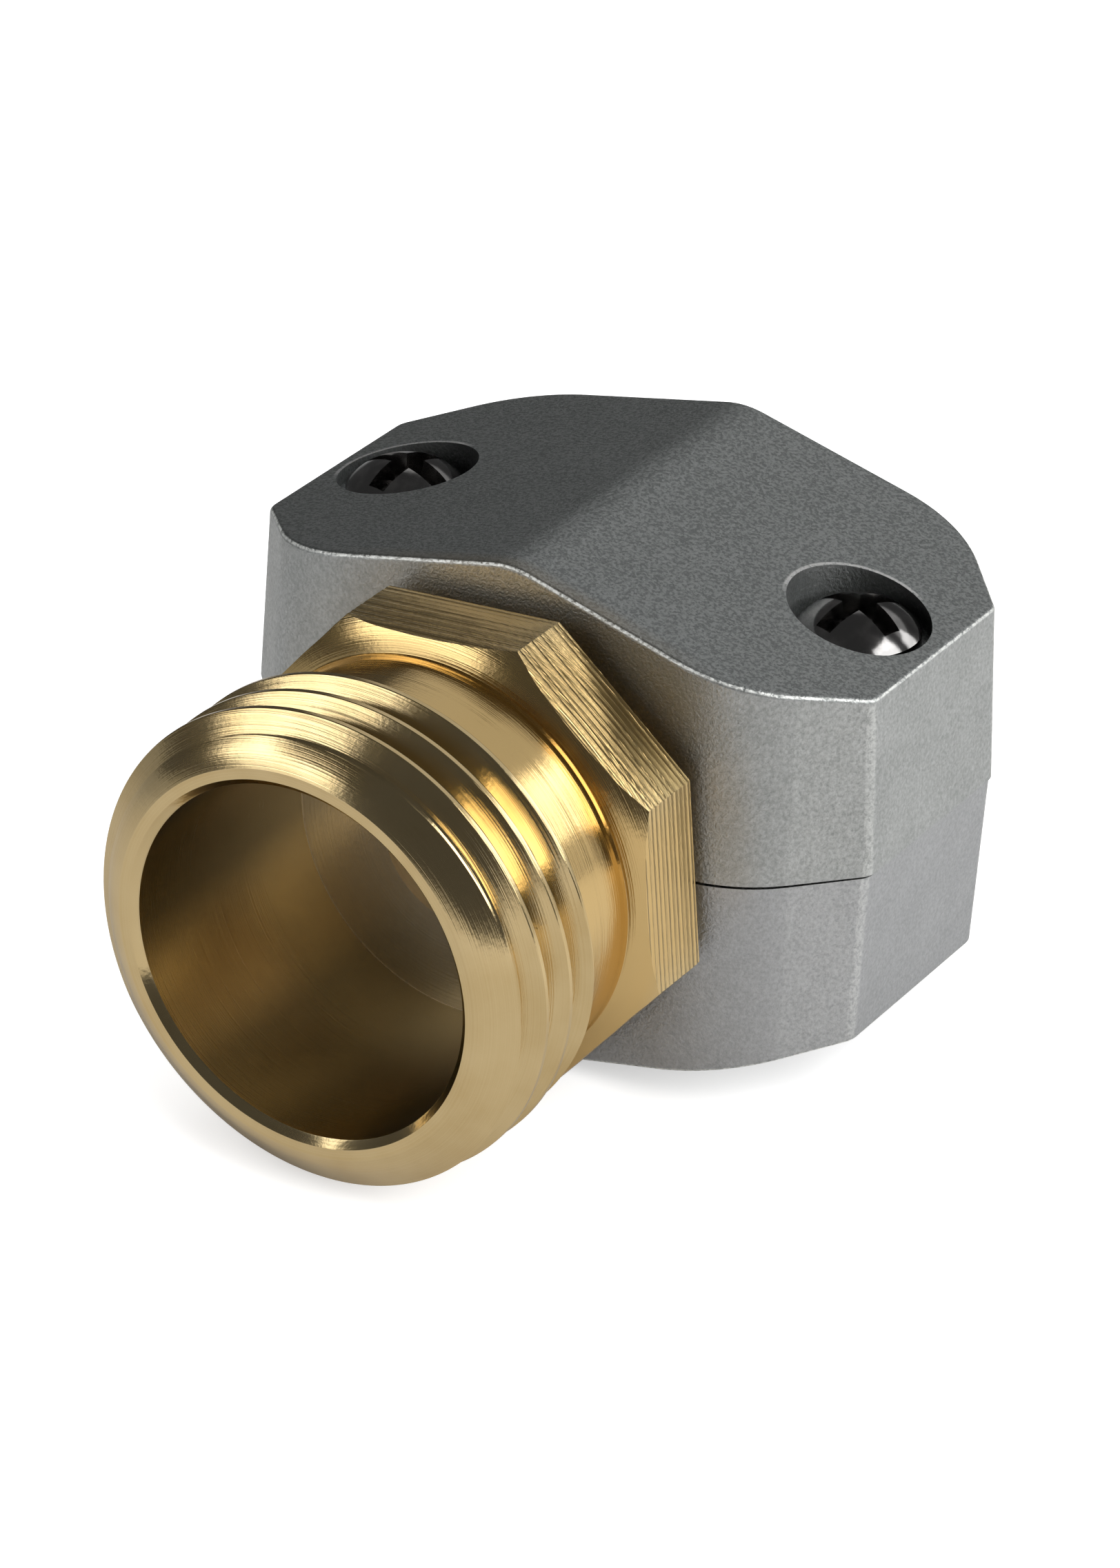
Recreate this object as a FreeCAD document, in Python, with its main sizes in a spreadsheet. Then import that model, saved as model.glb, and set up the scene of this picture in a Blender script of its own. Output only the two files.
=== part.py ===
"""Male garden hose mender: a turned brass coupling held in a two-piece die-cast clamp by two screws.

Frame: origin on the water axis at the middle of the male thread, +Y from the thread
towards the hose, +Z up through the upper clamp half, +X towards the right ear. Millimetres.
"""
import FreeCAD, Part
import math
import os

import Sketcher

doc = FreeCAD.newDocument("hose_mender")
sheet = doc.addObject("Spreadsheet::Sheet", "Sizes")

# Driving sizes: lengths in mm, angles in degrees, counts as plain numbers.
SIZES = [
    # Brass coupling, thread end
    ("bore_radius", 10.0),
    ("bore_depth", 15.2),
    ("bore_bevel", 0.4),
    ("lip_wall", 1.0),
    ("lip_bevel", 0.42),
    ("lip_bevel_length", 0.18),
    ("lead_angle", 46.4),
    ("lip_to_thread", 4.31),
    ("bore_to_neck", 1.75),
    ("neck_to_root", 0.45),
    ("thread_depth", 1.15),
    ("thread_pitch", 2.209),
    ("thread_turns", 3),
    ("crest_width", 0.3),
    ("flank_angle", 30.0),
    ("thread_to_nut", 8.68),
    # Brass coupling, octagon nut
    ("nut_length", 5.14),
    ("nut_face_ring", 0.15),
    ("nut_face_step", 0.26),
    ("nut_face_to_flat", 0.925),
    ("nut_face_width", 0.8),
    ("nut_face_angle", 20.0),
    ("nut_corner_angle", 36.0),
    ("nut_turn", 5.75),
    # Brass coupling, inside the clamp
    ("water_radius", 4.8),
    ("shank_wall", 2.8),
    ("barb_depth", 0.8),
    ("barb_to_seat", 0.8),
    ("collar_depth", 2.1),
    ("collar_width", 2.0),
    ("barb_land", 0.6),
    ("barb_length", 3.0),
    ("barb_pitch", 4.0),
    ("barb_count", 4),
    ("barb_start", 2.2),
    ("shank_tail", 1.4),
    # Clamp halves, inside
    ("barb_to_channel", 2.7),
    ("grip_depth", 0.8),
    ("grip_width", 0.8),
    ("grip_pitch", 3.6),
    ("grip_count", 4),
    ("mouth_flare", 0.9),
    ("lip_width", 2.4),
    ("running_gap", 0.3),
    # Clamp halves, outside, measured from the hose channel outwards
    ("clamp_gap", 0.75),
    ("clamp_depth", 25.1),
    ("channel_to_screw", 3.2),
    ("screw_to_end", 5.2),
    ("channel_to_shoulder", 2.9),
    ("channel_to_ridge", 3.8),
    ("ear_width", 13.1),
    ("roof_slope", 13.5),
    ("draft", 2.4),
    ("shoulder_round", 8.0),
    ("ear_round", 1.2),
    ("ridge_round", 5.0),
    ("rim_round", 0.3),
    ("parting_gap", 0.16),
    ("parting_step", 0.15),
    # Screws and their holes
    ("screw_radius", 2.08),
    ("thread_fit", 0.05),
    ("hole_clearance", 0.35),
    ("screw_length", 17.0),
    ("screw_point", 0.8),
    ("seat_height", 9.6),
    ("head_radius", 3.4),
    ("head_height", 2.4),
    ("head_rim", 0.8),
    ("head_clearance", 0.5),
    ("recess_span", 5.4),
    ("recess_slot", 1.3),
    ("recess_depth", 1.7),
    ("recess_draft", 8.0),
    ("right_turn", 73.0),
    ("left_turn", 82.0),
]

for row, (alias, value) in enumerate(SIZES, start=1):
    sheet.set("A%d" % row, alias)
    sheet.set("B%d" % row, str(value))
    sheet.setAlias("B%d" % row, alias)
doc.recompute()

# Places along the water axis. A word in brackets is read from the sheet.
LIP = "-[lip_to_thread]"
NUT_FRONT = "[thread_to_nut]"
FACE_STEP = "[thread_to_nut] - [nut_face_step]"
NUT_BACK = "[thread_to_nut] + [nut_length]"
CLAMP_FRONT = "%s + [clamp_gap]" % NUT_BACK
CLAMP_MIDDLE = "%s + [clamp_depth] / 2" % CLAMP_FRONT
CLAMP_BACK = "%s + [clamp_depth]" % CLAMP_FRONT
COLLAR_FRONT = "%s + [lip_width] + [running_gap]" % CLAMP_FRONT
COLLAR_BACK = "%s + [collar_width]" % COLLAR_FRONT
FIRST_BARB = "%s + [barb_start]" % COLLAR_BACK
LAST_BARB = "%s + ([barb_count] - 1) * [barb_pitch]" % FIRST_BARB
SHANK_END = "%s + [barb_length] + [shank_tail]" % LAST_BARB
BORE_END = "%s + [bore_depth]" % LIP
POCKET_BACK = "%s + [running_gap]" % COLLAR_BACK
FIRST_GRIP = "%s + [grip_width]" % POCKET_BACK

# Heights and radii that follow from the sheet
NECK_RADIUS = "[bore_radius] + [bore_to_neck]"
NUT_FACE_RADIUS = "(%s + [nut_face_ring])" % NECK_RADIUS
THREAD_ROOT = "%s + [neck_to_root]" % NECK_RADIUS
THREAD_RADIUS = "%s + [thread_depth]" % THREAD_ROOT
SHANK_RADIUS = "[water_radius] + [shank_wall]"
BARB_RADIUS = "%s + [barb_depth]" % SHANK_RADIUS
SEAT_RADIUS = "%s + [barb_to_seat]" % BARB_RADIUS
COLLAR_RADIUS = "%s + [collar_depth]" % SEAT_RADIUS
CHANNEL_RADIUS = "%s + [barb_to_channel]" % BARB_RADIUS
FLANK = "[thread_depth] * tan([flank_angle] * 1 deg)"
FIRST_CREST = "-([thread_turns] - 1) * [thread_pitch] / 2"
THREAD_END = "([thread_turns] - 1) * [thread_pitch] / 2 + [crest_width] / 2 + %s" % FLANK
CORNER_RADIUS = "(%s + [nut_face_to_flat]) / cos(22.5 deg)" % NUT_FACE_RADIUS
HALF_GAP = "[parting_gap] / 2"
GRIP_RADIUS = "%s - [grip_depth]" % CHANNEL_RADIUS
POCKET_RADIUS = "[head_radius] + [head_clearance]"
SCREW_SIDE = "(%s + [channel_to_screw])" % CHANNEL_RADIUS
RIDGE_HEIGHT = "(%s + [channel_to_ridge])" % CHANNEL_RADIUS

# How far a cut runs clear of the solid, and how deep a ridge is rooted in what carries it
MARGIN = "1"
ROOTED = "0.2"


def cell(text):
    """The expression with each word in brackets turned into a reference to the sheet."""
    return text.replace("[", "Sizes.").replace("]", "")


def value_of(text):
    """The present value of such an expression, as a plain number."""
    found = sheet.evalExpression(cell(text))
    return float(getattr(found, "Value", found))


def plane_of(body, role):
    """The body's own origin plane that has this role."""
    return next(feature for feature in body.Origin.OriginFeatures if feature.Role == role)


def new_body(name):
    """An empty body, whose label names its file."""
    body = doc.addObject("PartDesign::Body", name)
    body.Label = name
    return body


def new_sketch(body, name, role, height=None):
    """A sketch on one of the body's origin planes, raised along its normal by an expression."""
    sketch = body.newObject("Sketcher::SketchObject", name)
    sketch.AttachmentSupport = [(plane_of(body, role), "")]
    sketch.MapMode = "FlatFace"
    if height:
        sketch.setExpression("AttachmentOffset.Base.z", cell(height))
    return sketch


def bind_point(sketch, edge, end, corner):
    """Tie one end of an edge to a pair of expressions, measured from the sketch's origin."""
    for kind, axis, text in (("DistanceX", -2, corner[0]), ("DistanceY", -1, corner[1])):
        value = value_of(text)
        if text == "0":
            sketch.addConstraint(Sketcher.Constraint("PointOnObject", edge, end, axis))
            continue
        number = sketch.addConstraint(Sketcher.Constraint(kind, -1, 1, edge, end, value))
        sketch.setExpression("Constraints[%d]" % number, cell(text))


def polygon(sketch, corners):
    """A closed outline through corners that are pairs of expressions."""
    places = [FreeCAD.Vector(value_of(across), value_of(along), 0) for across, along in corners]
    count = len(places)
    for i in range(count):
        sketch.addGeometry(Part.LineSegment(places[i], places[(i + 1) % count]), False)
    for i in range(count):
        sketch.addConstraint(Sketcher.Constraint("Coincident", i, 2, (i + 1) % count, 1))
    for i in range(count):
        bind_point(sketch, i, 1, corners[i])


def circle(sketch, across, along, radius):
    """A circle whose centre and radius are expressions."""
    centre = FreeCAD.Vector(value_of(across), value_of(along), 0)
    shape = Part.Circle(centre, FreeCAD.Vector(0, 0, 1), value_of(radius))
    edge = sketch.addGeometry(shape, False)
    number = sketch.addConstraint(Sketcher.Constraint("Radius", edge, value_of(radius)))
    sketch.setExpression("Constraints[%d]" % number, cell(radius))
    bind_point(sketch, edge, 3, (across, along))


def revolved(body, name, corners, cut=False):
    """A profile of places along Y and radii, turned about the water axis or cut away by it."""
    sketch = new_sketch(body, name + "_profile", "YZ_Plane")
    polygon(sketch, corners)
    kind = "PartDesign::Groove" if cut else "PartDesign::Revolution"
    feature = body.newObject(kind, name)
    feature.Profile = sketch
    feature.ReferenceAxis = (sketch, ["H_Axis"])
    feature.Angle = 360
    return feature


def repeated(body, feature, name, count, pitch):
    """Copies of a turned feature, one pitch apart along the water axis."""
    row = body.newObject("PartDesign::LinearPattern", name)
    row.Originals = [feature]
    row.Direction = (feature.Profile[0], ["H_Axis"])
    row.setExpression("Length", cell("(%s - 1) * %s" % (count, pitch)))
    row.setExpression("Occurrences", cell(count))
    body.Tip = row
    return row


def edges_where(feature, wanted):
    """The names of a feature's edges that pass a test."""
    doc.recompute()
    return [
        "Edge%d" % number
        for number, edge in enumerate(feature.Shape.Edges, start=1)
        if wanted(edge)
    ]


def rounded(body, name, feature, wanted, radius):
    """A fillet along the edges that pass a test."""
    fillet = body.newObject("PartDesign::Fillet", name)
    fillet.Base = (feature, edges_where(feature, wanted))
    fillet.setExpression("Radius", cell(radius))
    return fillet


def male_coupling():
    """One turned brass piece: threaded nose, neck, octagon nut, clamp seat, collar and shank."""
    body = new_body("male_coupling")
    bevel_end = "%s + [lip_bevel_length]" % LIP
    lip_radius = "[bore_radius] + [lip_wall]"
    bevel_radius = "%s + [lip_bevel]" % lip_radius
    lead = "(%s - (%s)) / tan([lead_angle] * 1 deg)" % (THREAD_ROOT, bevel_radius)
    revolved(body, "turned_outside", [
        (LIP, "0"),
        (LIP, lip_radius),
        (bevel_end, bevel_radius),
        ("%s + %s" % (bevel_end, lead), THREAD_ROOT),
        (THREAD_END, THREAD_ROOT),
        (THREAD_END, NECK_RADIUS),
        (FACE_STEP, NECK_RADIUS),
        (FACE_STEP, NUT_FACE_RADIUS),
        (NUT_BACK, NUT_FACE_RADIUS),
        (NUT_BACK, SEAT_RADIUS),
        (COLLAR_FRONT, SEAT_RADIUS),
        (COLLAR_FRONT, COLLAR_RADIUS),
        (COLLAR_BACK, COLLAR_RADIUS),
        (COLLAR_BACK, SHANK_RADIUS),
        (SHANK_END, SHANK_RADIUS),
        (SHANK_END, "0"),
    ])

    # The thread is drawn as separate ridges of its true section and pitch.
    sunk = "%s - %s" % (THREAD_ROOT, ROOTED)
    half_root = "[crest_width] / 2 + %s" % FLANK
    crest = revolved(body, "thread_crest", [
        ("%s - (%s)" % (FIRST_CREST, half_root), sunk),
        ("%s - (%s)" % (FIRST_CREST, half_root), THREAD_ROOT),
        ("%s - [crest_width] / 2" % FIRST_CREST, THREAD_RADIUS),
        ("%s + [crest_width] / 2" % FIRST_CREST, THREAD_RADIUS),
        ("%s + %s" % (FIRST_CREST, half_root), THREAD_ROOT),
        ("%s + %s" % (FIRST_CREST, half_root), sunk),
    ])
    repeated(body, crest, "thread_crests", "[thread_turns]", "[thread_pitch]")

    barb = revolved(body, "barb", [
        (FIRST_BARB, "%s - %s" % (SHANK_RADIUS, ROOTED)),
        (FIRST_BARB, BARB_RADIUS),
        ("%s + [barb_land]" % FIRST_BARB, BARB_RADIUS),
        ("%s + [barb_length]" % FIRST_BARB, SHANK_RADIUS),
        ("%s + [barb_length]" % FIRST_BARB, "%s - %s" % (SHANK_RADIUS, ROOTED)),
    ])
    repeated(body, barb, "barbs", "[barb_count]", "[barb_pitch]")

    # The octagon, milled on eight sides; its corners are turned off at the front.
    flats = new_sketch(body, "nut_outline", "XZ_Plane", "-(%s)" % NUT_BACK)
    corners = []
    for k in range(8):
        angle = "([nut_turn] + %s) * 1 deg" % (22.5 + 45 * k)
        corners.append(("%s * cos(%s)" % (CORNER_RADIUS, angle), "%s * sin(%s)" % (CORNER_RADIUS, angle)))
    polygon(flats, corners)
    nut = body.newObject("PartDesign::Pad", "nut")
    nut.Profile = flats
    nut.setExpression("Length", cell("[nut_length]"))
    outside = "%s + %s" % (CORNER_RADIUS, MARGIN)
    bend = "%s + [nut_face_width]" % NUT_FACE_RADIUS
    bend_place = "%s + [nut_face_width] * tan([nut_face_angle] * 1 deg)" % NUT_FRONT
    rise = "(%s - (%s)) * tan([nut_corner_angle] * 1 deg)" % (outside, bend)
    revolved(body, "nut_corners_off", [
        (NUT_FRONT, NUT_FACE_RADIUS),
        (bend_place, bend),
        ("%s + %s" % (bend_place, rise), outside),
        (NUT_FRONT, outside),
    ], cut=True)

    # The wide bore ends in a flat shoulder, and a narrower waterway runs on through the shank.
    revolved(body, "bored", [
        ("%s - %s" % (LIP, MARGIN), "0"),
        ("%s - %s" % (LIP, MARGIN), "[bore_radius] + [bore_bevel] + %s" % MARGIN),
        ("%s + [bore_bevel]" % LIP, "[bore_radius]"),
        (BORE_END, "[bore_radius]"),
        (BORE_END, "[water_radius]"),
        ("%s + %s" % (SHANK_END, MARGIN), "[water_radius]"),
        ("%s + %s" % (SHANK_END, MARGIN), "0"),
    ], cut=True)
    return body


def clamp_half(name, up):
    """One die-cast half: drafted plan outline, sloping roof, grooved hose channel, two ears."""
    body = new_body(name)
    sign = "1" if up else "-1"
    base = "%s * %s" % (sign, HALF_GAP)
    step = "" if up else " - [parting_step]"
    half_width = "%s + [screw_to_end]%s" % (SCREW_SIDE, step)
    half_front = "%s + [channel_to_shoulder]" % CHANNEL_RADIUS
    ear_front = "%s - [ear_width] / 2" % CLAMP_MIDDLE
    ear_back = "%s + [ear_width] / 2" % CLAMP_MIDDLE
    left_width, left_front = ("-(%s)" % place for place in (half_width, half_front))
    plan = new_sketch(body, name + "_plan", "XY_Plane", base)
    polygon(plan, [
        (half_front, CLAMP_FRONT),
        (half_width, ear_front),
        (half_width, ear_back),
        (half_front, CLAMP_BACK),
        (left_front, CLAMP_BACK),
        (left_width, ear_back),
        (left_width, ear_front),
        (left_front, CLAMP_FRONT),
    ])
    block = body.newObject("PartDesign::Pad", name + "_block")
    block.Profile = plan
    block.Reversed = not up
    block.setExpression("Length", cell("%s + %s" % (RIDGE_HEIGHT, MARGIN)))
    doc.recompute()
    faces = {"Face%d" % number: face for number, face in enumerate(block.Shape.Faces, start=1)}
    sides = [name for name, face in faces.items() if abs(face.normalAt(0, 0).z) < 0.5]
    ends = [name for name in faces if name not in sides]
    parting = min(ends, key=lambda name: abs(faces[name].CenterOfMass.z))
    drafted = body.newObject("PartDesign::Draft", name + "_draft")
    drafted.Base = (block, sides)
    drafted.NeutralPlane = (block, [parting])
    drafted.Reversed = not up
    drafted.setExpression("Angle", cell("[draft]"))

    def corner_edge(edge, reach):
        """True for an upright edge whose foot stands that far from the middle plane."""
        ends = [vertex.Point for vertex in edge.Vertexes]
        low = min(ends, key=lambda point: abs(point.z))
        tall = abs(ends[0].z - ends[-1].z) > value_of(RIDGE_HEIGHT) / 2
        return tall and abs(abs(low.x) - value_of(reach)) < 0.01

    shoulders = rounded(
        body, name + "_shoulders", drafted, lambda edge: corner_edge(edge, half_front), "[shoulder_round]"
    )
    ears = rounded(
        body, name + "_ears", shoulders, lambda edge: corner_edge(edge, half_width), "[ear_round]"
    )

    # The roof falls from a ridge over the water axis to both ears.
    roof = new_sketch(body, name + "_roof_outline", "XZ_Plane")
    reach = "(%s + [screw_to_end] + %s)" % (SCREW_SIDE, MARGIN)
    eaves = "%s - %s * tan([roof_slope] * 1 deg)" % (RIDGE_HEIGHT, reach)
    above = "%s + 3 * %s" % (RIDGE_HEIGHT, MARGIN)
    polygon(roof, [
        ("0", "%s * %s" % (sign, RIDGE_HEIGHT)),
        (reach, "%s * (%s)" % (sign, eaves)),
        (reach, "%s * (%s)" % (sign, above)),
        ("-" + reach, "%s * (%s)" % (sign, above)),
        ("-" + reach, "%s * (%s)" % (sign, eaves)),
    ])
    slopes = body.newObject("PartDesign::Pocket", name + "_slopes")
    slopes.Profile = roof
    slopes.Type = "ThroughAll"
    slopes.Midplane = True

    def ridge_edge(edge):
        """True for the edge where the two roof slopes meet."""
        ends = [vertex.Point for vertex in edge.Vertexes]
        return len(ends) == 2 and all(
            abs(end.x) < 0.001 and abs(abs(end.z) - value_of(RIDGE_HEIGHT)) < 0.001 for end in ends
        )

    def rim_edge(edge):
        """True for an edge of the roof's outline."""
        middle = edge.valueAt((edge.FirstParameter + edge.LastParameter) / 2)
        on_roof = abs(middle.x) > 0.001 and all(
            abs(vertex.Point.z) > value_of(eaves) for vertex in edge.Vertexes
        )
        inward = value_of("[clamp_depth] / 2 - 2 * %s * tan([draft] * 1 deg)" % RIDGE_HEIGHT)
        outer = abs(middle.y - value_of(CLAMP_MIDDLE)) > inward or abs(middle.x) > value_of(half_front)
        return on_roof and outer

    ridge = rounded(body, name + "_ridge", slopes, ridge_edge, "[ridge_round]")
    rim = rounded(body, name + "_rim", ridge, rim_edge, "[rim_round]")

    # Inside: lip behind the nut, pocket for the brass collar, grip ribs and a flared mouth.
    lip_bore = "%s + [running_gap]" % SEAT_RADIUS
    pocket_bore = "%s + [running_gap]" % COLLAR_RADIUS
    flare_start = "%s - [mouth_flare]" % CLAMP_BACK
    revolved(body, name + "_bore", [
        ("%s - %s" % (CLAMP_FRONT, MARGIN), "0"),
        ("%s - %s" % (CLAMP_FRONT, MARGIN), lip_bore),
        ("%s + [lip_width]" % CLAMP_FRONT, lip_bore),
        ("%s + [lip_width]" % CLAMP_FRONT, pocket_bore),
        (POCKET_BACK, pocket_bore),
        (POCKET_BACK, GRIP_RADIUS),
        (flare_start, GRIP_RADIUS),
        ("%s + %s" % (CLAMP_BACK, MARGIN), "%s + [mouth_flare] + %s" % (GRIP_RADIUS, MARGIN)),
        ("%s + %s" % (CLAMP_BACK, MARGIN), "0"),
    ], cut=True)
    fall = "[grip_depth]"
    wide = "[grip_pitch] - [grip_width]"
    channel = revolved(body, name + "_channel", [
        (FIRST_GRIP, "%s - %s" % (GRIP_RADIUS, ROOTED)),
        (FIRST_GRIP, GRIP_RADIUS),
        ("%s + %s / 2" % (FIRST_GRIP, fall), CHANNEL_RADIUS),
        ("%s + %s - %s / 2" % (FIRST_GRIP, wide, fall), CHANNEL_RADIUS),
        ("%s + %s" % (FIRST_GRIP, wide), GRIP_RADIUS),
        ("%s + %s" % (FIRST_GRIP, wide), "%s - %s" % (GRIP_RADIUS, ROOTED)),
    ], cut=True)
    repeated(body, channel, name + "_grips", "[grip_count]", "[grip_pitch]")

    # The upper ears have clearance holes and head pockets, and the lower ears tapped holes.
    hole_radius = "[screw_radius] + [hole_clearance]" if up else "[screw_radius] + [thread_fit]"
    screw_holes(body, name + "_holes", hole_radius, "0", not up)
    if up:
        screw_holes(body, name + "_pockets", POCKET_RADIUS, "[seat_height]", False)
    return body


def screw_holes(body, name, radius, floor, down):
    """A round cut through both ears, from a height outwards."""
    sketch = new_sketch(body, name + "_outline", "XY_Plane", floor)
    circle(sketch, SCREW_SIDE, CLAMP_MIDDLE, radius)
    circle(sketch, "-" + SCREW_SIDE, CLAMP_MIDDLE, radius)
    cut = body.newObject("PartDesign::Pocket", name)
    cut.Profile = sketch
    cut.Type = "ThroughAll"
    cut.Reversed = not down


def clamp_screw(name, side, turn):
    """A domed screw with a cross recess: built at its own seat, then moved on to its ear."""
    body = new_body(name)
    corners = [
        ("0", "[head_height]"),
        ("[head_radius]", "[head_rim]"),
        ("[head_radius]", "0"),
        ("[screw_radius]", "0"),
        ("[screw_radius]", "-[screw_length] + [screw_point]"),
        ("[screw_radius] - [screw_point]", "-[screw_length]"),
        ("0", "-[screw_length]"),
    ]
    places = [FreeCAD.Vector(value_of(across), value_of(along), 0) for across, along in corners]
    drop = value_of("[head_height] - [head_rim]")
    dome = (value_of("[head_radius]") ** 2 + drop ** 2) / (2 * drop)
    profile = new_sketch(body, name + "_profile", "XZ_Plane")
    centre = FreeCAD.Vector(0, places[0].y - dome, 0)
    start = math.atan2(places[1].y - centre.y, places[1].x)
    arc = Part.ArcOfCircle(Part.Circle(centre, FreeCAD.Vector(0, 0, 1), dome), start, math.pi / 2)
    profile.addGeometry(arc, False)
    count = len(places)
    for i in range(1, count):
        profile.addGeometry(Part.LineSegment(places[i], places[(i + 1) % count]), False)
    # The arc runs from the rim up to the crown, so its start is the second corner.
    profile.addConstraint(Sketcher.Constraint("PointOnObject", 0, 3, -2))
    profile.addConstraint(Sketcher.Constraint("Coincident", 0, 1, 1, 1))
    profile.addConstraint(Sketcher.Constraint("Coincident", 0, 2, count - 1, 2))
    for i in range(1, count - 1):
        profile.addConstraint(Sketcher.Constraint("Coincident", i, 2, i + 1, 1))
        bind_point(profile, i, 1, corners[i])
    bind_point(profile, count - 1, 1, corners[count - 1])
    bind_point(profile, count - 1, 2, corners[0])
    shape = body.newObject("PartDesign::Revolution", name + "_turned")
    shape.Profile = profile
    shape.ReferenceAxis = (profile, ["V_Axis"])
    shape.Angle = 360

    # The cross recess narrows towards its floor.
    recess = new_sketch(body, name + "_recess_outline", "XY_Plane", "[head_height]")
    arm = "[recess_span] / 2"
    slot = "[recess_slot] / 2"
    quarter = [(arm, slot), (slot, slot), (slot, arm)]
    cross = list(quarter)
    for across, along in ((-1, 1), (-1, -1), (1, -1)):
        turned = [(("-" if across < 0 else "") + u, ("-" if along < 0 else "") + v) for u, v in quarter]
        cross += turned if across == along else turned[::-1]
    polygon(recess, cross)
    cut = body.newObject("PartDesign::Pocket", name + "_recess")
    cut.Profile = recess
    cut.setExpression("Length", cell("[recess_depth]"))
    cut.setExpression("TaperAngle", cell("-[recess_draft]"))

    body.setExpression("Placement.Base.x", cell("%d * %s" % (side, SCREW_SIDE)))
    body.setExpression("Placement.Base.y", cell(CLAMP_MIDDLE))
    body.setExpression("Placement.Base.z", cell("[seat_height]"))
    body.setExpression("Placement.Rotation.Angle", cell(turn))
    return body


def main():
    """Build every sub-part, check it, and write one file for each."""
    bodies = [
        male_coupling(),
        clamp_half("clamp_upper", True),
        clamp_half("clamp_lower", False),
        clamp_screw("screw_left", -1, "[left_turn]"),
        clamp_screw("screw_right", 1, "[right_turn]"),
    ]
    doc.recompute()
    for thing in doc.Objects:
        if "Invalid" in thing.State or "Error" in thing.State:
            raise RuntimeError("%s failed: %s" % (thing.Name, thing.State))
    os.makedirs("parts", exist_ok=True)
    for body in bodies:
        shape = body.Shape
        if shape.isNull() or not shape.isValid() or len(shape.Solids) != 1:
            raise RuntimeError("%s is not one valid solid" % body.Label)
        shape.exportStep("parts/%s.step" % body.Label)
        print(body.Label, round(shape.Volume, 2), shape.BoundBox)


main()
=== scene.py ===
"""Looks of a male garden hose mender: turned brass coupling, grey cast clamp, two plated screws."""
import math
import random

import bmesh
import bpy
from mathutils import Matrix, Vector


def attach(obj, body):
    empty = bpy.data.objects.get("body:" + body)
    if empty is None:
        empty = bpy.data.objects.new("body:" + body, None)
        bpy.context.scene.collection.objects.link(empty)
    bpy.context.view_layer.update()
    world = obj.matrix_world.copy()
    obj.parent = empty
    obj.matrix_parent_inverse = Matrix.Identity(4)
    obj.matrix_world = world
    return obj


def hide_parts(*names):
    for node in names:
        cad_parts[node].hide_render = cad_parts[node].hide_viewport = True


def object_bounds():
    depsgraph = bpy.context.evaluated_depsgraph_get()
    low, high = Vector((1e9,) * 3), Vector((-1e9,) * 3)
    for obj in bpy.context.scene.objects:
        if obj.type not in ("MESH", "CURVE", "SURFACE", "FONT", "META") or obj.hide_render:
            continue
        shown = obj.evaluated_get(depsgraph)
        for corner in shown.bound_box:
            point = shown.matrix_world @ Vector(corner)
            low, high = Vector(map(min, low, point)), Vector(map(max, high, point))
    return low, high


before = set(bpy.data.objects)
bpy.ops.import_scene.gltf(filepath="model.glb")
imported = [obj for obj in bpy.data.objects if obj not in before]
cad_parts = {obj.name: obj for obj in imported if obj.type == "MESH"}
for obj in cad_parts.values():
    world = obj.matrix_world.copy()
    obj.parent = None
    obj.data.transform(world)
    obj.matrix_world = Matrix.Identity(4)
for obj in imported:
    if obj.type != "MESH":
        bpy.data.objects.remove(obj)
cad_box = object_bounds()

# The coupling is turned from one brass bar, bored from the front and threaded on the nose.
# Its nut is milled on eight sides, and its ringed shank and collar lie inside the clamp.
# Radii and places along the water axis are in millimetres, as the maker's drawing has them.
MM = 0.001
TURN_STEPS = 256
BAR_SPARE = 2.0
LIP = -4.31
BORE_RADIUS = 10.0
BORE_BEVEL = 0.4
BORE_END = 10.89
WATER_RADIUS = 4.8
LIP_RADIUS = 11.0
BEVEL_END = (-4.13, 11.42)
NOSE_END = (-3.80, 11.95)
LEAD_SLOPE = 1.2
CREST_RADIUS = 13.35
ROOT_RADIUS = 12.05
ROOT_ROUND = 0.40
ROOT_LIFT = 0.02
RIDGE_DEPTH = 0.25
PITCH = 2.209
THREAD_TURNS = 5
CREST_HALF = 0.12
THREAD_SHIFT = 0.45
THREAD_END = 3.12
NECK_RADIUS = 11.75
EDGE_RING = (8.42, 11.9)
NUT_FRONT = 8.68
NUT_BACK = 13.82
NUT_SIDES = 8
NUT_REACH = 14.2
NUT_FLATS = 25.65
NUT_TURN = math.radians(5.75)
NUT_DISH = (0.347, 0.115)
DISH_STEPS = 8
SEAT_RADIUS = 9.2
COLLAR = (17.27, 19.27, 11.3)
SHANK_RADIUS = 7.6
SHANK_END = 37.87
BARB_RADIUS = 8.4
FIRST_BARB = 21.47
BARB_PITCH = 4.0
BARB_COUNT = 4
BARB_LAND = 0.6
BARB_LENGTH = 3.0
MILL_LINES = 15
MILL_STEPS = 6
MILL_DEPTH = 0.03


def finished(bm, name, smooth_below):
    """A mesh object from a bmesh, in metres, smooth except over edges sharper than an angle."""
    bmesh.ops.scale(bm, vec=(MM, MM, MM), verts=bm.verts)
    for face in bm.faces:
        face.smooth = True
    limit = math.radians(smooth_below)
    for edge in bm.edges:
        edge.smooth = len(edge.link_faces) != 2 or edge.calc_face_angle(0.0) < limit
    mesh = bpy.data.meshes.new(name)
    bm.to_mesh(mesh)
    bm.free()
    piece = bpy.data.objects.new(name, mesh)
    bpy.context.scene.collection.objects.link(piece)
    return piece


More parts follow.
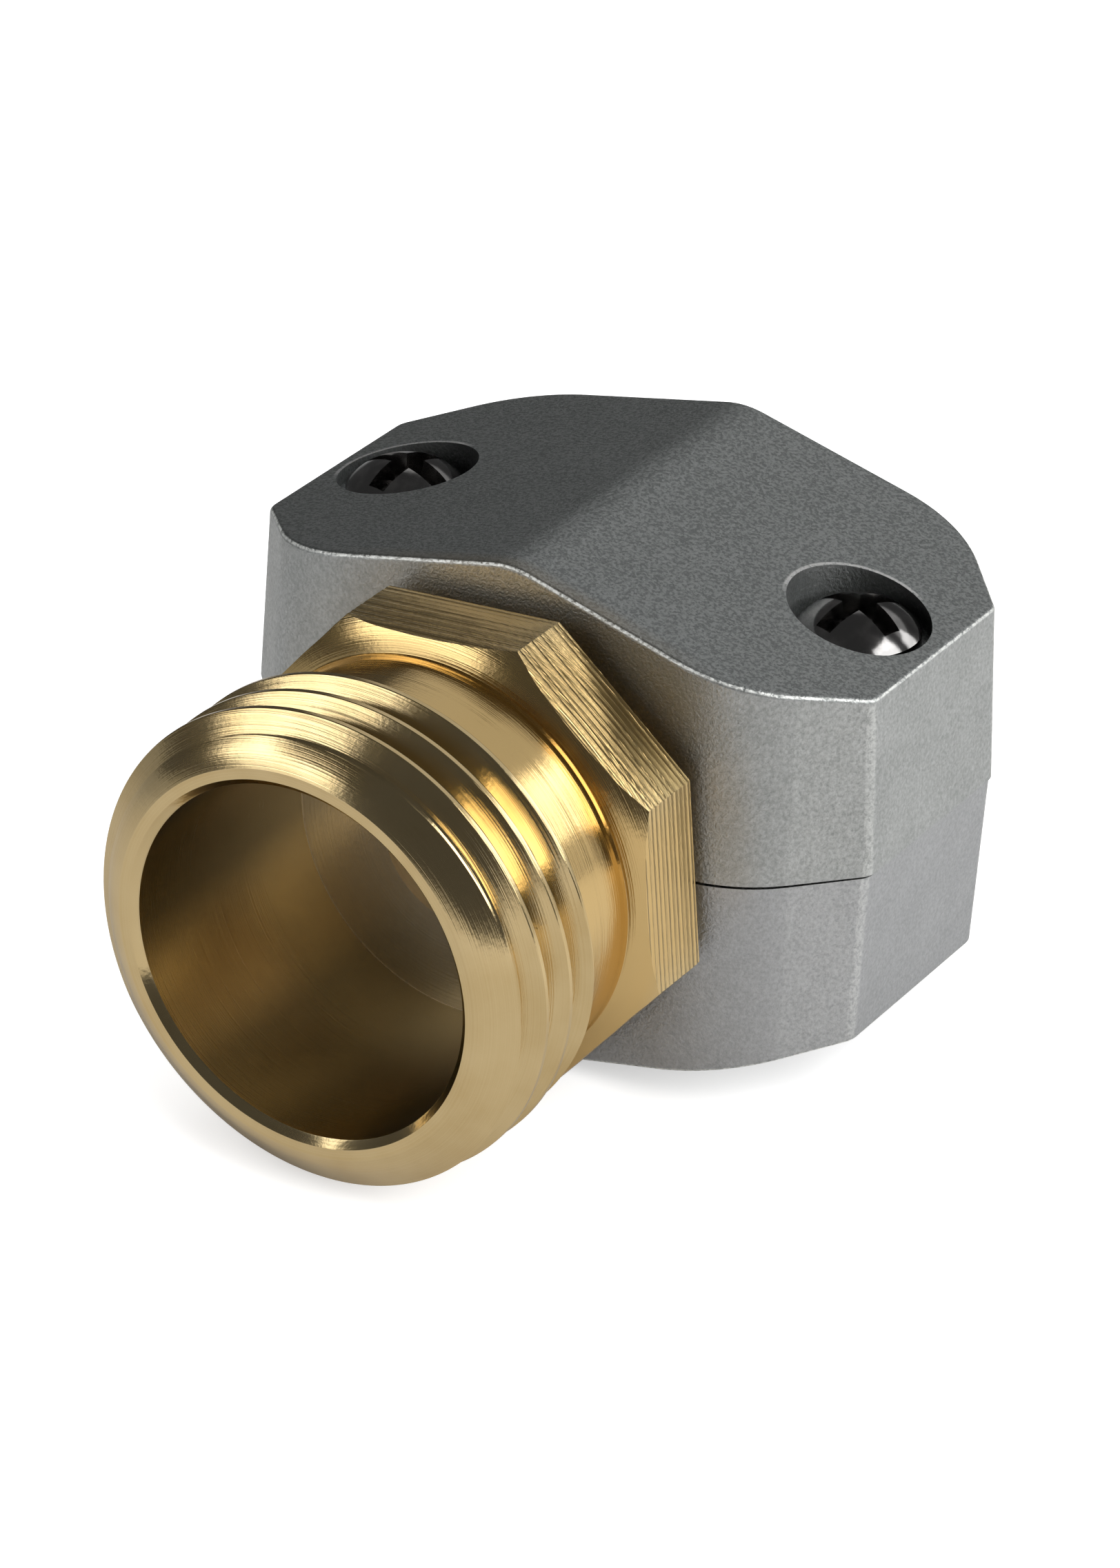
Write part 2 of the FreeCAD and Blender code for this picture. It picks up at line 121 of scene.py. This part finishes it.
def turned(outline):
    """A closed outline of places along Y and radii, turned a full circle about the water axis."""
    bm = bmesh.new()
    verts = [bm.verts.new((0.0, along, radius)) for along, radius in outline]
    for i in range(len(verts)):
        bm.edges.new((verts[i], verts[(i + 1) % len(verts)]))
    bmesh.ops.spin(
        bm,
        geom=bm.verts[:] + bm.edges[:],
        cent=(0, 0, 0),
        axis=(0, 1, 0),
        angle=math.tau,
        steps=TURN_STEPS,
        use_merge=True,
    )
    bmesh.ops.remove_doubles(bm, verts=bm.verts, dist=0.0005)
    bmesh.ops.recalc_face_normals(bm, faces=bm.faces)
    return bm


def as_object(bm, name):
    """A plain object from a bmesh, for use as a tool."""
    mesh = bpy.data.meshes.new(name)
    bm.to_mesh(mesh)
    bm.free()
    tool = bpy.data.objects.new(name, mesh)
    bpy.context.scene.collection.objects.link(tool)
    return tool


def combined(base, tool, operation):
    """The base after one cut or join by a tool, which is then taken away."""
    step = base.modifiers.new("step", "BOOLEAN")
    step.operation = operation
    step.solver = "EXACT"
    step.object = tool
    solved = base.evaluated_get(bpy.context.evaluated_depsgraph_get())
    mesh = bpy.data.meshes.new_from_object(solved)
    base.modifiers.clear()
    base.data = mesh
    bpy.data.objects.remove(tool)
    return base


# What the lathe leaves: every radius of the coupling, the bore included. The octagon and the
# ridges reach less far out than the nut and the thread do here.
crest_limit = CREST_RADIUS + 0.3
outline = [
    (LIP, BORE_RADIUS + BORE_BEVEL),
    (LIP + BORE_BEVEL, BORE_RADIUS),
    (BORE_END, BORE_RADIUS),
    (BORE_END, WATER_RADIUS),
    (SHANK_END, WATER_RADIUS),
    (SHANK_END, SHANK_RADIUS),
]
for i in reversed(range(BARB_COUNT)):
    barb = FIRST_BARB + i * BARB_PITCH
    outline += [
        (barb + BARB_LENGTH, SHANK_RADIUS),
        (barb + BARB_LAND, BARB_RADIUS),
        (barb, BARB_RADIUS),
        (barb, SHANK_RADIUS),
    ]
outline += [
    (COLLAR[1], SHANK_RADIUS),
    (COLLAR[1], COLLAR[2]),
    (COLLAR[0], COLLAR[2]),
    (COLLAR[0], SEAT_RADIUS),
    (NUT_BACK, SEAT_RADIUS),
    (NUT_BACK, NUT_REACH),
]
# The nut's front is dished: nearly flat at the ring, steeper towards the corners.
for i in reversed(range(DISH_STEPS + 1)):
    out = (NUT_REACH - EDGE_RING[1]) * i / DISH_STEPS
    back = NUT_DISH[0] * out + NUT_DISH[1] * out * out
    outline.append((NUT_FRONT + back, EDGE_RING[1] + out))
outline += [
    (EDGE_RING[0], EDGE_RING[1]),
    (EDGE_RING[0], NECK_RADIUS),
    (THREAD_END, NECK_RADIUS),
    (THREAD_END, crest_limit),
    (NOSE_END[0] + (crest_limit - NOSE_END[1]) / LEAD_SLOPE, crest_limit),
    NOSE_END,
    BEVEL_END,
    (LIP, LIP_RADIUS),
]
lathe_work = as_object(turned(outline), "lathe_work")

# The bar before turning, with the thread's ridge wound on it and the octagon milled.
bar_length = SHANK_END - LIP + 2 * BAR_SPARE
bar_middle = LIP - BAR_SPARE + bar_length / 2
along_y = Matrix.Rotation(math.radians(90), 4, "X")
bm = bmesh.new()
bmesh.ops.create_cone(
    bm,
    cap_ends=True,
    segments=TURN_STEPS,
    radius1=ROOT_RADIUS,
    radius2=ROOT_RADIUS,
    depth=bar_length,
    matrix=Matrix.Translation((0, bar_middle, 0)) @ along_y,
)
bmesh.ops.recalc_face_normals(bm, faces=bm.faces)
coupling = as_object(bm, "coupling")

bm = bmesh.new()
first_ridge = -3 * PITCH + THREAD_SHIFT
# From the crest's edge down the straight flank to the rounded root, out from the crest's middle.
flank = [(CREST_HALF, CREST_RADIUS), (CREST_HALF + 0.05, CREST_RADIUS - 0.03)]
for lean in (60, 50, 40, 30, 20, 10, 2):
    lean = math.radians(lean)
    rise = ROOT_LIFT + ROOT_ROUND * (1 - math.cos(lean))
    flank.append((PITCH / 2 - ROOT_ROUND * math.sin(lean), ROOT_RADIUS + rise))
flank.append((PITCH / 2 - 0.01, ROOT_RADIUS - RIDGE_DEPTH))
section = [(-along, radius) for along, radius in reversed(flank)] + flank
verts = [bm.verts.new((0.0, first_ridge + along, radius)) for along, radius in section]
bmesh.ops.spin(
    bm,
    geom=[bm.faces.new(verts)],
    cent=(0, 0, 0),
    axis=(0, 1, 0),
    dvec=(0, PITCH / TURN_STEPS, 0),
    angle=math.tau * THREAD_TURNS,
    steps=TURN_STEPS * THREAD_TURNS,
)
bmesh.ops.recalc_face_normals(bm, faces=bm.faces)
coupling = combined(coupling, as_object(bm, "ridge"), "UNION")

random.seed(7)
bm = bmesh.new()
half_side = math.radians(180 / NUT_SIDES)
octagon_turn = Matrix.Rotation(half_side + NUT_TURN, 4, "Z")
corner_radius = NUT_FLATS / 2 / math.cos(half_side)
mill_start = NUT_FRONT - 0.3
mill_end = NUT_BACK + 0.5
line_pitch = (mill_end - mill_start) / MILL_LINES
lay_down = Matrix.Translation((0, mill_start, 0)) @ along_y
bmesh.ops.create_circle(
    bm, segments=NUT_SIDES, radius=corner_radius, matrix=lay_down @ octagon_turn
)
last_radius = corner_radius
front = bm.edges[:]
for line in range(MILL_LINES):
    depth = MILL_DEPTH * random.uniform(0.3, 1.5)
    for step in range(1, MILL_STEPS + 1):
        out = bmesh.ops.extrude_edge_only(bm, edges=front)
        front = [item for item in out["geom"] if isinstance(item, bmesh.types.BMEdge)]
        verts = [item for item in out["geom"] if isinstance(item, bmesh.types.BMVert)]
        bmesh.ops.translate(bm, vec=(0, line_pitch / MILL_STEPS, 0), verts=verts)
        share = step / MILL_STEPS
        radius = corner_radius - depth * 4 * share * (1 - share)
        grow = radius / last_radius
        bmesh.ops.scale(bm, vec=(grow, 1, grow), verts=verts)
        last_radius = radius
bmesh.ops.holes_fill(bm, edges=bm.edges, sides=NUT_SIDES)
bmesh.ops.recalc_face_normals(bm, faces=bm.faces)
coupling = combined(coupling, as_object(bm, "octagon"), "UNION")
coupling = combined(coupling, lathe_work, "INTERSECT")

bm = bmesh.new()
bm.from_mesh(coupling.data)
bpy.data.objects.remove(coupling)
bmesh.ops.remove_doubles(bm, verts=bm.verts, dist=0.0008)
bmesh.ops.dissolve_degenerate(bm, dist=0.0005, edges=bm.edges)
coupling = finished(bm, "coupling_turned", smooth_below=12.0)
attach(coupling, "coupling")
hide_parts("male_coupling")


class Wire:
    """One output of a shader node; maths on it adds Math nodes to the same material."""

    def __init__(self, tree, socket=None):
        self.tree = tree
        self.socket = socket

    def node(self, kind, values=None, out=0, stops=None, **settings):
        """Another node: its settings first, then its sockets, by name or number."""
        made = self.tree.nodes.new(kind)
        for key, value in settings.items():
            setattr(made, key, value)
        if stops:
            while len(made.color_ramp.elements) < len(stops):
                made.color_ramp.elements.new(1.0)
            for element, (place, colour) in zip(made.color_ramp.elements, stops):
                element.position = place
                element.color = colour if len(colour) == 4 else (*colour, 1.0)
        for key, value in (values or {}).items():
            self.feed(made.inputs[key], value)
        return Wire(self.tree, made.outputs[out])

    def feed(self, socket, value):
        """Link a wire to a socket, or set its value."""
        if isinstance(value, Wire):
            self.tree.links.new(value.socket, socket)
        else:
            socket.default_value = value

    def maths(self, operation, first, second=0.0, third=0.0):
        return self.node("ShaderNodeMath", {0: first, 1: second, 2: third}, operation=operation)

    def __add__(self, other):
        return self.maths("ADD", self, other)

    def __radd__(self, other):
        return self.maths("ADD", other, self)

    def __sub__(self, other):
        return self.maths("SUBTRACT", self, other)

    def __rsub__(self, other):
        return self.maths("SUBTRACT", other, self)

    def __mul__(self, other):
        return self.maths("MULTIPLY", self, other)

    def __rmul__(self, other):
        return self.maths("MULTIPLY", other, self)

    def __truediv__(self, other):
        return self.maths("DIVIDE", self, other)

    def __pow__(self, other):
        return self.maths("POWER", self, other)

    def steep(self, low, high, start=0.0, end=1.0):
        """A smooth step of this wire from one value to another between two bounds."""
        values = {"Value": self, "From Min": low, "From Max": high, "To Min": start, "To Max": end}
        return self.node("ShaderNodeMapRange", values, interpolation_type="SMOOTHSTEP")


def new_material(name, **fixed):
    """A metal: its shader, and a wire to build its pattern from; fixed values go on the shader."""
    material = bpy.data.materials.new(name)
    material.use_nodes = True
    shader = material.node_tree.nodes["Principled BSDF"]
    for key, value in fixed.items():
        shader.inputs[key.replace("_", " ")].default_value = value
    return material, shader, Wire(material.node_tree)


def noise(wire, coordinates, scale, detail=3.0, roughness=0.5):
    """A noise value over a vector."""
    values = {"Vector": coordinates, "Scale": scale, "Detail": detail, "Roughness": roughness}
    return wire.node("ShaderNodeTexNoise", values, out="Fac")


def blend_colour(wire, amount, low, high):
    """From one colour to another by an amount."""
    mixed = wire.node("ShaderNodeMix", None, data_type="RGBA")
    made = mixed.socket.node
    wire.feed(made.inputs["Factor"], amount)
    colours = [socket for socket in made.inputs if socket.type == "RGBA"]
    wire.feed(colours[0], low)
    wire.feed(colours[1], high)
    return Wire(wire.tree, next(socket for socket in made.outputs if socket.type == "RGBA"))


def placed(wire):
    """The place on the piece, then its three parts in millimetres: across, along and height."""
    place = wire.node("ShaderNodeTexCoord", out="Object")
    outputs = wire.node("ShaderNodeSeparateXYZ", {0: place}).socket.node.outputs
    return place, *(Wire(wire.tree, outputs[axis]) / MM for axis in "XYZ")


def bumped(wire, shader, height, strength, distance):
    """Fine relief in the shading."""
    values = {"Strength": strength, "Distance": distance, "Height": height}
    wire.feed(shader.inputs["Normal"], wire.node("ShaderNodeBump", values))


def coat(node, material):
    """This material alone on an object."""
    node.data.materials.clear()
    node.data.materials.append(material)


# Satin turned brass: fine tool marks run round the water axis, with a little tarnish between.
# A deeper gold on the neck and the nut's dished front is a painted reflection of light bounced
# between the brass faces, and the bore is rougher and darker by painted shade.
BRASS = (0.78, 0.61, 0.33, 1.0)
BRASS_DEEP = (0.66, 0.49, 0.235, 1.0)
BRASS_BOUNCE_GOLD = (0.76, 0.54, 0.235, 1.0)
BORE_SHADE = (0.50, 0.415, 0.25, 1.0)
STREAK_REFLECTION = (0.98, 0.74, 0.37, 1.0)
BOTTOM_LIT = (0.88, 0.77, 0.59, 1.0)
STREAK_TURN = math.radians(-121)
STREAK_HALF = math.radians(27)
material, shader, wire = new_material("turned_brass", Metallic=1.0)
place, across, along, height = placed(wire)
radius = (across * across + height * height) ** 0.5
marks = wire.node(
    "ShaderNodeTexNoise",
    {"W": (along + radius * 0.83) * MM, "Scale": 9000.0, "Detail": 2.0, "Roughness": 0.6},
    out="Fac",
    noise_dimensions="1D",
)
cloud = noise(wire, place, 260.0, 4.0)
outer = blend_colour(wire, (cloud * 0.8 + marks * 0.3).steep(0.35, 0.85), BRASS, BRASS_DEEP)
past_lip = along.steep(LIP + 0.21, LIP + 0.71)
# Painted shade: inside the bore and the waterway the brass colour is darker.
bore = radius.steep(BORE_RADIUS + 0.08, BORE_RADIUS + 0.03) * past_lip * along.steep(12.0, 11.5)
inside = wire.maths("MAXIMUM", bore, radius.steep(WATER_RADIUS + 0.2, WATER_RADIUS + 0.1))
bottom = inside * along.steep(BORE_END - 0.09, BORE_END - 0.02)
# Painted reflection: the neck and the dished nut front take a deeper gold for light bounced between
# brass faces.
neck = radius.steep(NECK_RADIUS + 0.25, NECK_RADIUS + 0.15) * along.steep(-3.6, -3.0)
dish = radius.steep(14.5, 13.0) * along.steep(EDGE_RING[0] - 0.32, EDGE_RING[0] - 0.02)
outer = blend_colour(wire, wire.maths("MAXIMUM", neck, dish), outer, BRASS_BOUNCE_GOLD)
# A lighter streak painted up the bore on one side is a painted reflection.
beside = (across * math.sin(STREAK_TURN) + height * math.cos(STREAK_TURN)) / radius
streak_reflection = beside.steep(math.cos(STREAK_HALF), 1.0) * (0.5 + 0.5 * cloud)
inner = blend_colour(wire, streak_reflection, BORE_SHADE, STREAK_REFLECTION)
# Painted light: the flat bottom of the bore is paler, as if lit from the opening; it is also
# rougher.
inner = blend_colour(wire, bottom, inner, BOTTOM_LIT)
wire.feed(shader.inputs["Base Color"], blend_colour(wire, inside, outer, inner))
satin = 0.09 + 0.07 * cloud + 0.05 * marks
wire.feed(shader.inputs["Roughness"], satin + 0.10 * inside + 0.22 * bottom)
grain = noise(wire, place, 4200.0, 2.0)
nicks = noise(wire, place, 900.0, 3.0, 0.6)
bumped(wire, shader, marks + grain * 0.4 + nicks, 0.3, 0.00003)
coat(coupling, material)

# The clamp halves are die cast and blasted to an even matt grain; the rims are worn brighter and
# carry a painted highlight as well.
# Each half is the CAD solid itself, with this finish.
CAST = (0.65, 0.67, 0.67, 1.0)
CAST_DARK = (0.36, 0.38, 0.375, 1.0)
CAST_ROOF_SHADE = (0.17, 0.18, 0.17, 1.0)
CAST_LOWER_SHADE = (0.51, 0.515, 0.56, 1.0)
CAST_RUBBED_HIGHLIGHT = (0.74, 0.75, 0.72, 1.0)
CAST_BRASS_BOUNCE = (0.44, 0.37, 0.26, 1.0)
POCKET_SHADE = (0.06, 0.06, 0.06, 1.0)
POCKET_EDGE_HIGHLIGHT = (0.95, 0.95, 0.93, 1.0)
SCREW_ASIDE = 14.3
SCREW_ALONG = 27.12
material, shader, wire = new_material("blasted_casting")
place, across, along, height = placed(wire)
grain = noise(wire, place, 4700.0, 2.0, 0.7)
mottle = noise(wire, place, 350.0, 4.0)
normal = wire.node("ShaderNodeTexCoord", out="Normal")
normal = wire.node("ShaderNodeSeparateXYZ", {0: normal}).socket.node.outputs
sideways, upright = (wire.maths("ABSOLUTE", Wire(wire.tree, normal[axis])) for axis in "XZ")
roof = upright.steep(0.5, 0.8)
coarse = 0.5 + (grain - 0.5) * (0.6 + 2.0 * roof) + (mottle - 0.5) * 0.2
colour = blend_colour(wire, coarse.steep(0.2, 0.8), CAST_DARK, CAST)
# Painted shade: faces that look up or down are darkened.
colour = blend_colour(wire, roof * 0.40, colour, CAST_ROOF_SHADE)
# Painted shade: the sides below the parting line are darker and bluer.
lower_side_shade = height.steep(0.3, -0.3) * upright.steep(0.5, 0.2)
colour = blend_colour(wire, lower_side_shade * 0.35, colour, CAST_LOWER_SHADE)
# A warm brown tint on the front round the nut is a painted reflection of light bounced off the
# brass.
reach = (across * across + height * height) ** 0.5
brass_bounce = reach.steep(17.8, 13.5) * along.steep(16.5, 15.5) * height.steep(-4.0, 4.0)
brass_bounce = brass_bounce * across.steep(-12.0, -4.0, 0.3, 1.0)
colour = blend_colour(wire, brass_bounce * (0.15 + 0.5 * mottle), colour, CAST_BRASS_BOUNCE)
# Where the face turns from roof to side the finish is rubbed bright and painted lighter as a
# highlight; on the upright corners the lighter colour is only a painted highlight.
rim = upright.steep(0.30, 0.50) * upright.steep(0.86, 0.72)
corner = sideways.steep(0.68, 0.84) * sideways.steep(0.995, 0.95) * upright.steep(0.3, 0.15)
aside = across - wire.maths("SIGN", across) * SCREW_ASIDE
behind = along - SCREW_ALONG
from_screw = (aside * aside + behind * behind) ** 0.5
pocket = from_screw.steep(4.1, 4.0) * height.steep(7.0, 7.5)
rubbed_and_highlit = wire.maths("MAXIMUM", rim, corner * 0.4) * reach.steep(11.8, 12.1)
rubbed_and_highlit = rubbed_and_highlit * grain.steep(0.25, 0.65) * (1.0 - pocket)
colour = blend_colour(wire, rubbed_and_highlit, colour, CAST_RUBBED_HIGHLIGHT)
# The pockets are darker by painted shade, most on the right; their upper left edge carries a
# painted highlight, a bright line.
shade = pocket * upright.steep(0.6, 0.3) * aside.steep(-3.5, 1.5, 0.25, 0.9)
colour = blend_colour(wire, shade, colour, POCKET_SHADE)
edge = from_screw.steep(4.18, 4.05) * from_screw.steep(3.84, 3.94) * upright.steep(0.4, 0.6)
edge = edge * (behind - aside).steep(1.2, 3.2) * grain.steep(0.2, 0.5)
wire.feed(shader.inputs["Base Color"], blend_colour(wire, edge, colour, POCKET_EDGE_HIGHLIGHT))
wire.feed(shader.inputs["Metallic"], 1.0 - 0.35 * rubbed_and_highlit)
wire.feed(shader.inputs["Roughness"], 0.60 - 0.26 * grain)
bumped(wire, shader, grain + mottle * 0.3, 0.6, 0.00008)
for name in ("clamp_upper", "clamp_lower"):
    coat(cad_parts[name], material)

# The screws are steel with a dark bright plating, a little lighter where it is rubbed.
# They too are the CAD solids with this finish.
PLATE = (0.26, 0.255, 0.25, 1.0)
PLATE_WORN = (0.38, 0.37, 0.36, 1.0)
material, shader, wire = new_material("plated_screw", Metallic=1.0)
place = placed(wire)[0]
rub = noise(wire, place, 900.0, 4.0)
colour = blend_colour(wire, rub.steep(0.45, 0.7), PLATE, PLATE_WORN)
wire.feed(shader.inputs["Base Color"], colour)
wire.feed(shader.inputs["Roughness"], 0.07 + 0.13 * rub)
bumped(wire, shader, rub, 0.2, 0.00005)
for name in ("screw_left", "screw_right"):
    coat(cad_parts[name], material)

# The floor the part rests on, pale to the eye and darker in what the metal mirrors.
# The metal also mirrors a dark tent with soft boxes on it, which lights nothing else.
FLOOR_SEEN = (0.72, 0.72, 0.72, 1.0)
FLOOR_MIRRORED = (0.40, 0.39, 0.38, 1.0)
FLOOR_BEHIND = (0.52, 0.51, 0.50, 1.0)
FLOOR_LEFT = (0.2, 0.2, 0.2, 1.0)
WHITE = (1.0, 1.0, 1.0, 1.0)
bm = bmesh.new()
bmesh.ops.create_grid(bm, x_segments=2, y_segments=2, size=4.0)
bmesh.ops.translate(bm, vec=(0, 0, cad_box[0].z), verts=bm.verts)
floor = as_object(bm, "floor")
material, shader, wire = new_material("pale_floor", Roughness=0.9, Specular_IOR_Level=0.1)
seen = wire.node("ShaderNodeLightPath", out="Is Camera Ray")
mirrored = wire.node("ShaderNodeLightPath", out="Is Glossy Ray")
place, across, along, height = placed(wire)
reflected = blend_colour(wire, along.steep(0.0, 40.0), FLOOR_MIRRORED, FLOOR_BEHIND)
reflected = blend_colour(wire, across.steep(-20.0, -160.0), reflected, FLOOR_LEFT)
floor_colour = blend_colour(wire, mirrored, FLOOR_SEEN, reflected)
wire.feed(shader.inputs["Base Color"], floor_colour)
glow = wire.node("ShaderNodeEmission", {"Color": WHITE, "Strength": seen * 0.5})
both = wire.node("ShaderNodeAddShader", {0: Wire(wire.tree, shader.outputs[0]), 1: glow})
wire.feed(material.node_tree.nodes["Material Output"].inputs["Surface"], both)
floor.data.materials.append(material)

# Directions are turned from straight ahead of the thread, positive to the right, then raised.
# Each box: its two directions, half its width and height in degrees, and its strength.
SOFTBOXES = [
    (-33.0, 15.0, 13.0, 12.0, 1.2),
    (-33.0, 25.0, 13.0, 5.0, 1.6),
    (-54.0, 24.0, 8.0, 11.0, 2.2),
    (98.0, 37.0, 23.0, 20.0, 3.5),
    (145.0, 23.0, 9.0, 12.0, 2.4),
    (140.0, 2.0, 8.0, 12.0, 0.6),
    (180.0, 42.0, 40.0, 16.0, 0.46),
]
TENT_RADIUS = 0.7
TENT_LEVEL = 0.07
BOX_SOFTNESS = 2.0
bm = bmesh.new()
bmesh.ops.create_uvsphere(bm, u_segments=64, v_segments=32, radius=TENT_RADIUS)
tent = as_object(bm, "tent")
tent.visible_camera = False
tent.visible_diffuse = False
tent.visible_shadow = False
material = bpy.data.materials.new("tent_cloth")
material.use_nodes = True
material.node_tree.nodes.clear()
wire = Wire(material.node_tree)
place, across, along, height = placed(wire)
azimuth = wire.maths("ARCTAN2", across, along * -1.0) * math.degrees(1.0)
elevation = wire.maths("ARCSINE", height * (MM / TENT_RADIUS)) * math.degrees(1.0)
level = TENT_LEVEL
for aim, rise, half_width, half_height, strength in SOFTBOXES:
    aside = wire.maths("ABSOLUTE", wire.maths("WRAP", azimuth - aim, 180.0, -180.0))
    above = wire.maths("ABSOLUTE", elevation - rise)
    wide = aside.steep(half_width + BOX_SOFTNESS, half_width - BOX_SOFTNESS)
    tall = above.steep(half_height + BOX_SOFTNESS, half_height - BOX_SOFTNESS)
    level = level + wide * tall * strength
glow = wire.node("ShaderNodeEmission", {"Color": WHITE, "Strength": level})
output = material.node_tree.nodes.new("ShaderNodeOutputMaterial")
wire.feed(output.inputs["Surface"], glow)
tent.data.materials.append(material)


PART_MIDDLE = Vector((0.0, 0.015, 0.0))


def lamp(name, aim, rise, distance, size, watts):
    """A soft square lamp that looks at the part from a direction, and isn't seen in the metal."""
    data = bpy.data.lights.new(name, "AREA")
    data.shape = "SQUARE"
    data.size = size
    data.energy = watts
    holder = bpy.data.objects.new(name, data)
    turn, lift = math.radians(aim), math.radians(rise)
    flat = math.cos(lift)
    way = Vector((math.sin(turn) * flat, -math.cos(turn) * flat, math.sin(lift)))
    holder.location = way * distance + PART_MIDDLE
    holder.rotation_euler = way.to_track_quat("Z", "Y").to_euler()
    holder.visible_glossy = False
    bpy.context.scene.collection.objects.link(holder)


lamp("key", 70.0, 35.0, 0.6, 0.35, 4.0)
lamp("fill", -30.0, 40.0, 0.7, 0.5, 2.0)
lamp("top", 0.0, 88.0, 0.7, 0.6, 2.5)

# The white backdrop is full to the camera and in the metal, and weaker as a light.
world = bpy.data.worlds.new("studio")
bpy.context.scene.world = world
world.use_nodes = True
world.node_tree.nodes.clear()
wire = Wire(world.node_tree)
rays = wire.node("ShaderNodeLightPath").socket.node.outputs
kinds = ("Is Glossy Ray", "Is Transmission Ray", "Is Camera Ray")
glossy, through, direct = (Wire(wire.tree, rays[kind]) for kind in kinds)
shown = wire.maths("MAXIMUM", direct, wire.maths("MAXIMUM", glossy, through))
backdrop = wire.node("ShaderNodeBackground", {"Color": WHITE, "Strength": 0.35 + shown * 0.65})
output = world.node_tree.nodes.new("ShaderNodeOutputWorld")
wire.feed(output.inputs["Surface"], backdrop)

# The camera stands where the photograph was taken from: its place, heading, drop and tilt.
# They were solved from the thread, bore, octagon and clamp edges.
CAMERA_PLACE = Vector((0.154399, -0.229657, 0.164192))
CAMERA_HEADING = math.radians(31.645)
CAMERA_DROP = math.radians(29.287)
CAMERA_ROLL = math.radians(1.866)
LENS = 143.65
back = Vector((
    math.sin(CAMERA_HEADING) * math.cos(CAMERA_DROP),
    -math.cos(CAMERA_HEADING) * math.cos(CAMERA_DROP),
    math.sin(CAMERA_DROP),
))
level_right = Vector((math.cos(CAMERA_HEADING), math.sin(CAMERA_HEADING), 0.0))
level_up = back.cross(level_right)
right = level_right * math.cos(CAMERA_ROLL) + level_up * math.sin(CAMERA_ROLL)
up = level_up * math.cos(CAMERA_ROLL) - level_right * math.sin(CAMERA_ROLL)
lens = bpy.data.cameras.new("camera")
lens.lens = LENS
lens.clip_start = 0.01
camera = bpy.data.objects.new("camera", lens)
camera.matrix_world = Matrix((
    (right.x, up.x, back.x, CAMERA_PLACE.x),
    (right.y, up.y, back.y, CAMERA_PLACE.y),
    (right.z, up.z, back.z, CAMERA_PLACE.z),
    (0, 0, 0, 1),
))
bpy.context.scene.collection.objects.link(camera)
bpy.context.scene.camera = camera
bpy.context.scene.view_settings.view_transform = "Standard"
